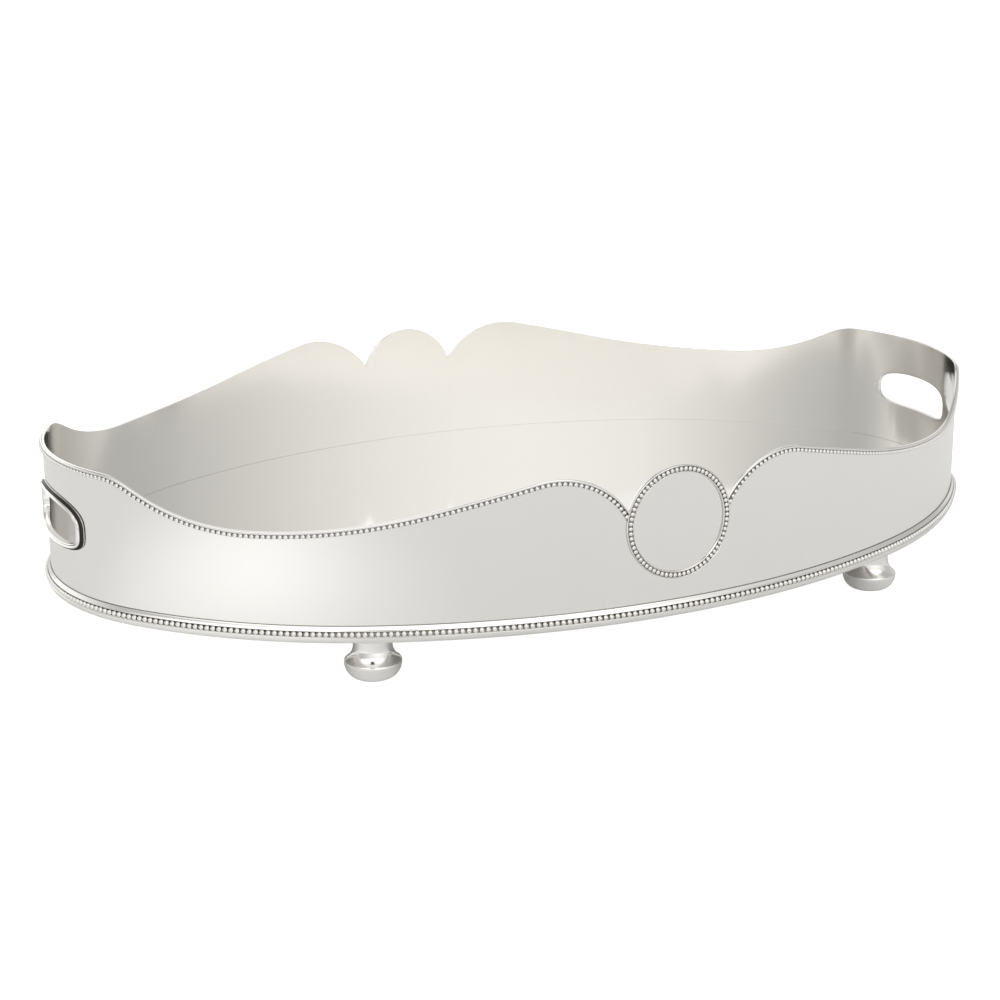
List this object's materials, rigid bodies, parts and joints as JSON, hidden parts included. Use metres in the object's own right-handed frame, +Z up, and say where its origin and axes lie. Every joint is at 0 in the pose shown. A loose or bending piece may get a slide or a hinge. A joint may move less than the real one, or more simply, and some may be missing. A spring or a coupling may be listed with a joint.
{
  "type": "serving tray",
  "caption": "Oval silver-plated gallery tray with a scalloped upright wall, beaded edges, round medallions, slot handles and bun feet.",
  "frame": {"origin": "on the ground under the middle of the tray, midway between the four feet", "axes": "+Z up, +X along the tray's long axis towards one handle, -Y towards the front"},
  "size_m": [0.567, 0.3644, 0.1038],
  "materials": {
    "floor_silver": "silver plate on brass, mirror polished, with faint fine wiping lines",
    "wall_silver": "silver plate on brass, bright polished, slightly soft",
    "moulding_silver": "silver plate, polished, darker in the grooves",
    "beaded_silver": "silver plate, polished beads with oxidised gaps",
    "turned_silver": "silver plate, turned and mirror polished",
    "bare_brass": "turned brass, unplated, slightly dull"
  },
  "bodies": {
    "root": {"floor_plate": "floor_silver", "gallery_front": "wall_silver", "gallery_back": "wall_silver", "base_moulding": "moulding_silver", "base_beading": "beaded_silver", "rim_beading_left": "beaded_silver", "rim_beading_right": "beaded_silver", "medallion_ring_front": "beaded_silver", "medallion_ring_back": "beaded_silver", "handle_bezel_left": "moulding_silver", "handle_bezel_right": "moulding_silver", "foot_front_left": "turned_silver", "foot_front_right": "turned_silver", "foot_back_left": "turned_silver", "foot_back_right": "turned_silver", "collar_front_left": "turned_silver", "collar_front_right": "turned_silver", "collar_back_left": "turned_silver", "collar_back_right": "turned_silver", "pad_front_left": "bare_brass", "pad_front_right": "bare_brass", "pad_back_left": "bare_brass", "pad_back_right": "bare_brass", "foot_studs": "bare_brass"}
  },
  "joints": []
}
